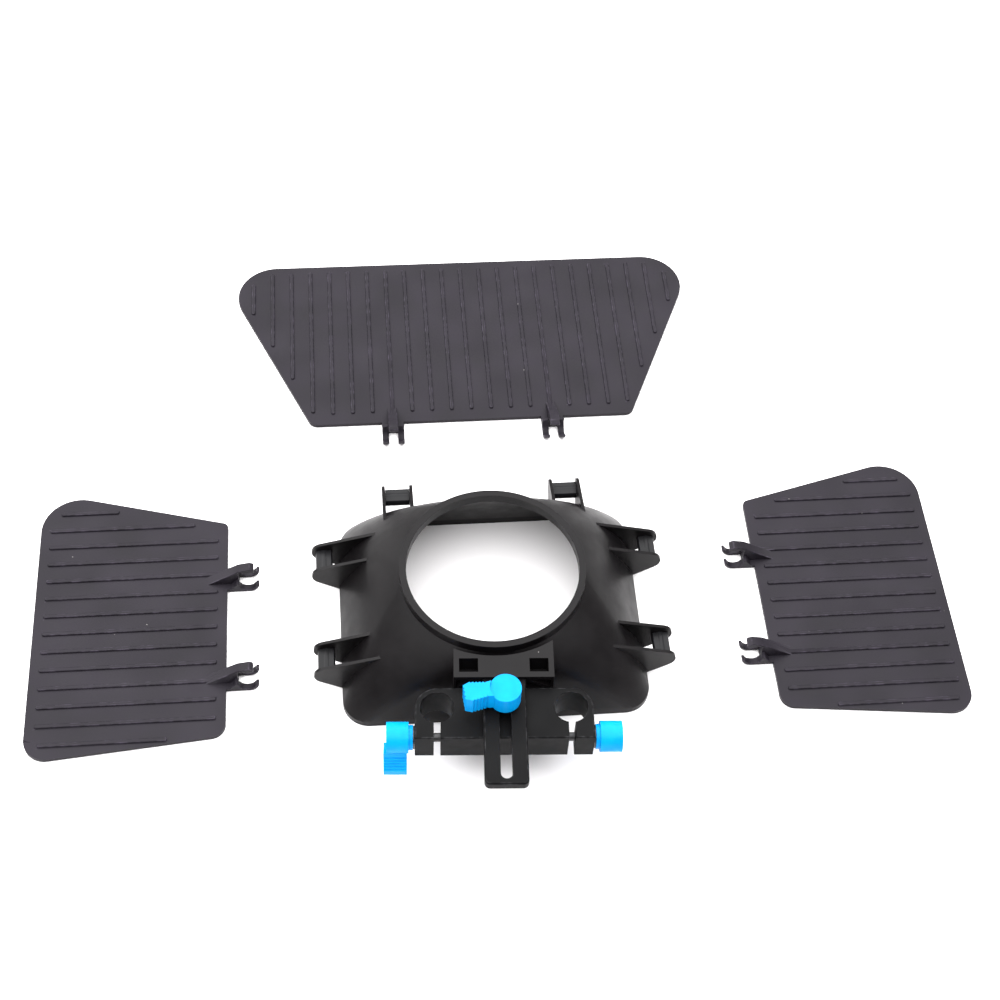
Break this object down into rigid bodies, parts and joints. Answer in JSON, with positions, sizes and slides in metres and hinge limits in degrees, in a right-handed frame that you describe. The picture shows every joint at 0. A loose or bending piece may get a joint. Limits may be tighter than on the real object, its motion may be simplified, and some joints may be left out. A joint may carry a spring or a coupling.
{
  "type": "lens hood",
  "caption": "Matte box lens hood for two 15 mm rods, with a round lens ring, clip-on swinging flags and a rod clamp on a slotted height bar.",
  "frame": {"origin": "centre of the lens ring's rear face, on the optical axis", "axes": "+Z along the optical axis towards the camera, +Y towards the hood's top side, +X right; the front rim rests on the plane z = -46 mm"},
  "size_m": [0.4446, 0.3433, 0.056],
  "materials": {
    "black_abs": "satin moulded, fine grain",
    "flag_abs": "matte moulded, fine grain",
    "bar_plastic": "smooth satin",
    "black_aluminium": "black anodised, satin",
    "blue_plastic": "semi-gloss moulded",
    "black_steel": "black oxide"
  },
  "bodies": {
    "hood": {"hood_shell": "black_abs", "slotted_bar": "black_aluminium", "bar_screws": "black_steel"},
    "clamp_block": {"rod_clamp_block": "black_aluminium"},
    "height_washer_body": {"height_washer": "black_steel"},
    "height_knob_body": {"height_knob": "blue_plastic", "height_screw": "black_steel"},
    "left_washer_body": {"left_clamp_washer": "black_steel"},
    "left_knob_body": {"left_clamp_knob": "blue_plastic", "left_clamp_screw": "black_steel"},
    "right_washer_body": {"right_clamp_washer": "black_steel"},
    "right_knob_body": {"right_clamp_knob": "blue_plastic", "right_clamp_screw": "black_steel"},
    "left_bars": {"left_bar_far": "bar_plastic", "left_bar_near": "bar_plastic"},
    "right_bars": {"right_bar_far": "bar_plastic", "right_bar_near": "bar_plastic"},
    "top_bars": {"top_bar_left": "bar_plastic", "top_bar_right": "bar_plastic"},
    "left_flag_body": {"left_flag": "flag_abs"},
    "right_flag_body": {"right_flag": "flag_abs"},
    "top_flag_body": {"top_flag": "flag_abs"}
  },
  "joints": [
    {"name": "height_adjust", "type": "slide", "parent": "hood", "child": "clamp_block", "axis": [-0.0523, -0.9986, 0], "range_m": [-0.001, 0.034]},
    {"name": "height_thread_travel", "type": "slide", "parent": "clamp_block", "child": "height_washer_body", "axis": [0, 0, 1], "range_m": [0, 0.0013]},
    {"name": "height_knob_turn", "type": "hinge", "parent": "height_washer_body", "child": "height_knob_body", "pos_m": [0.00018, -0.06947, -0.004], "axis": [0, 0, 1], "range_deg": [0, 540]},
    {"name": "left_thread_travel", "type": "slide", "parent": "clamp_block", "child": "left_washer_body", "axis": [-0.9986, 0.0523, 0], "range_m": [0, 0.0013]},
    {"name": "left_knob_turn", "type": "hinge", "parent": "left_washer_body", "child": "left_knob_body", "pos_m": [-0.04032, -0.07787, -0.0172], "axis": [-0.9986, 0.0523, 0], "range_deg": [0, 540]},
    {"name": "right_thread_travel", "type": "slide", "parent": "clamp_block", "child": "right_washer_body", "axis": [0.9986, -0.0523, 0], "range_m": [0, 0.0013]},
    {"name": "right_knob_turn", "type": "hinge", "parent": "right_washer_body", "child": "right_knob_body", "pos_m": [0.03958, -0.08205, -0.0172], "axis": [0.9986, -0.0523, 0], "range_deg": [0, 540]},
    {"name": "left_swing", "type": "hinge", "parent": "hood", "child": "left_bars", "pos_m": [-0.079, 0, -0.0327], "axis": [0, -1, 0], "range_deg": [-45, 66]},
    {"name": "right_swing", "type": "hinge", "parent": "hood", "child": "right_bars", "pos_m": [0.079, 0, -0.0327], "axis": [0, 1, 0], "range_deg": [-45, 66]},
    {"name": "top_swing", "type": "hinge", "parent": "hood", "child": "top_bars", "pos_m": [0, 0.0651, -0.0327], "axis": [-1, 0, 0], "range_deg": [-45, 70]},
    {"name": "left_clip_on", "type": "slide", "parent": "left_bars", "child": "left_flag_body", "axis": [0.9873, 0, 0.1592], "range_m": [0, 0.03788]},
    {"name": "right_clip_on", "type": "slide", "parent": "right_bars", "child": "right_flag_body", "axis": [-0.9911, 0, 0.1334], "range_m": [0, 0.0452]},
    {"name": "top_clip_on", "type": "slide", "parent": "top_bars", "child": "top_flag_body", "axis": [0, -0.9916, 0.1291], "range_m": [0, 0.04669]}
  ],
  "couplings": [
    {"joint": "height_thread_travel", "follows": "height_knob_turn", "m_per_rad": 0.00012732},
    {"joint": "left_thread_travel", "follows": "left_knob_turn", "m_per_rad": 0.00012732},
    {"joint": "right_thread_travel", "follows": "right_knob_turn", "m_per_rad": 0.00012732}
  ]
}
